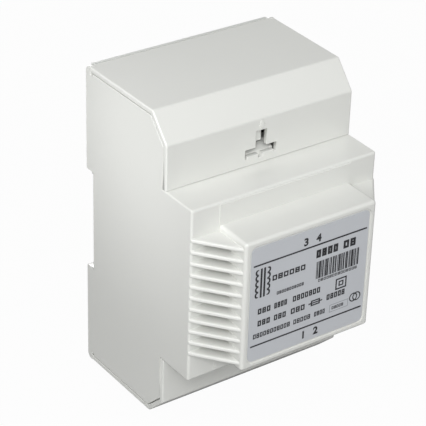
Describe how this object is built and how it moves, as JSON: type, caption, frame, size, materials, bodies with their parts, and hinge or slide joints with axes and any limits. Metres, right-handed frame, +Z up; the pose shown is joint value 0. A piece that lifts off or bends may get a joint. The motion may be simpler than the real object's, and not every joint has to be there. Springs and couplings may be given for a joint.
{
  "type": "din rail transformer",
  "caption": "Stepped plastic housing with a label nose between louvred corners, terminal covers that clip on and a sprung rail latch, and a laminated core with two windings inside.",
  "frame": {"origin": "middle of the rail seat: the plane where the rail's lips touch the base, at mid width and at the rail's centre line", "axes": "+X along the rail to the right as seen from the front, -Y out of the front, +Z up"},
  "size_m": [0.07, 0.0713, 0.112],
  "materials": {
    "housing_plastic": "light grey glossy moulding, fine polish",
    "cover_plastic": "light grey glossy moulding, fine polish",
    "base_plastic": "light grey, satin",
    "latch_plastic": "mid grey, satin",
    "spring_steel": "bright spring wire",
    "label_foil": "grey printed foil",
    "zinc_screw": "zinc plated",
    "core_steel": "blued electrical sheet, stacked",
    "former_plastic": "natural nylon",
    "winding_copper": "enamelled copper wire",
    "insulating_tape": "yellow polyester tape",
    "tinned_pin": "tinned",
    "terminal_plastic": "dark grey, fine grain",
    "plated_cage": "nickel plated",
    "contact_brass": "rolled brass",
    "fuse_cap_nickel": "nickel plated",
    "fuse_glass": "clear",
    "primary_lead_sleeve": "brown insulation",
    "secondary_lead_sleeve": "blue insulation"
  },
  "bodies": {
    "housing": {"base_screws": "zinc_screw", "coil_former": "former_plastic", "coil_pins": "tinned_pin", "core_e_stack": "core_steel", "core_i_stack": "core_steel", "core_screws": "zinc_screw", "fuse_cap_1": "fuse_cap_nickel", "fuse_cap_2": "fuse_cap_nickel", "fuse_clip_1": "contact_brass", "fuse_clip_2": "contact_brass", "fuse_glass": "fuse_glass", "housing": "housing_plastic", "latch_spring": "spring_steel", "primary_clamp_cage_1": "plated_cage", "primary_clamp_cage_2": "plated_cage", "primary_contact_strip_1": "contact_brass", "primary_contact_strip_2": "contact_brass", "primary_lead_1": "primary_lead_sleeve", "primary_lead_2": "primary_lead_sleeve", "primary_tape": "insulating_tape", "primary_terminal_block": "terminal_plastic", "primary_terminal_screw_1": "zinc_screw", "primary_terminal_screw_2": "zinc_screw", "primary_winding": "winding_copper", "rating_label": "label_foil", "rear_base": "base_plastic", "secondary_clamp_cage_1": "plated_cage", "secondary_clamp_cage_2": "plated_cage", "secondary_contact_strip_1": "contact_brass", "secondary_contact_strip_2": "contact_brass", "secondary_lead_1": "secondary_lead_sleeve", "secondary_lead_2": "secondary_lead_sleeve", "secondary_lead_3": "secondary_lead_sleeve", "secondary_tape": "insulating_tape", "secondary_terminal_block": "terminal_plastic", "secondary_terminal_screw_1": "zinc_screw", "secondary_terminal_screw_2": "zinc_screw", "secondary_winding": "winding_copper"},
    "top_cover": {"top_cover": "cover_plastic"},
    "bottom_cover": {"bottom_cover": "cover_plastic"},
    "rail_latch": {"rail_latch": "latch_plastic"}
  },
  "joints": [
    {"name": "top_cover_pull", "type": "slide", "parent": "housing", "child": "top_cover", "axis": [0, -1, 0], "range_m": [0, 0.045]},
    {"name": "bottom_cover_pull", "type": "slide", "parent": "housing", "child": "bottom_cover", "axis": [0, -1, 0], "range_m": [0, 0.045]},
    {"name": "latch_release", "type": "slide", "parent": "housing", "child": "rail_latch", "axis": [0, 0, -1], "range_m": [0, 0.0035], "stiffness_N_per_m": 600, "springref_m": -0.004, "deforming": ["latch_spring"]}
  ]
}
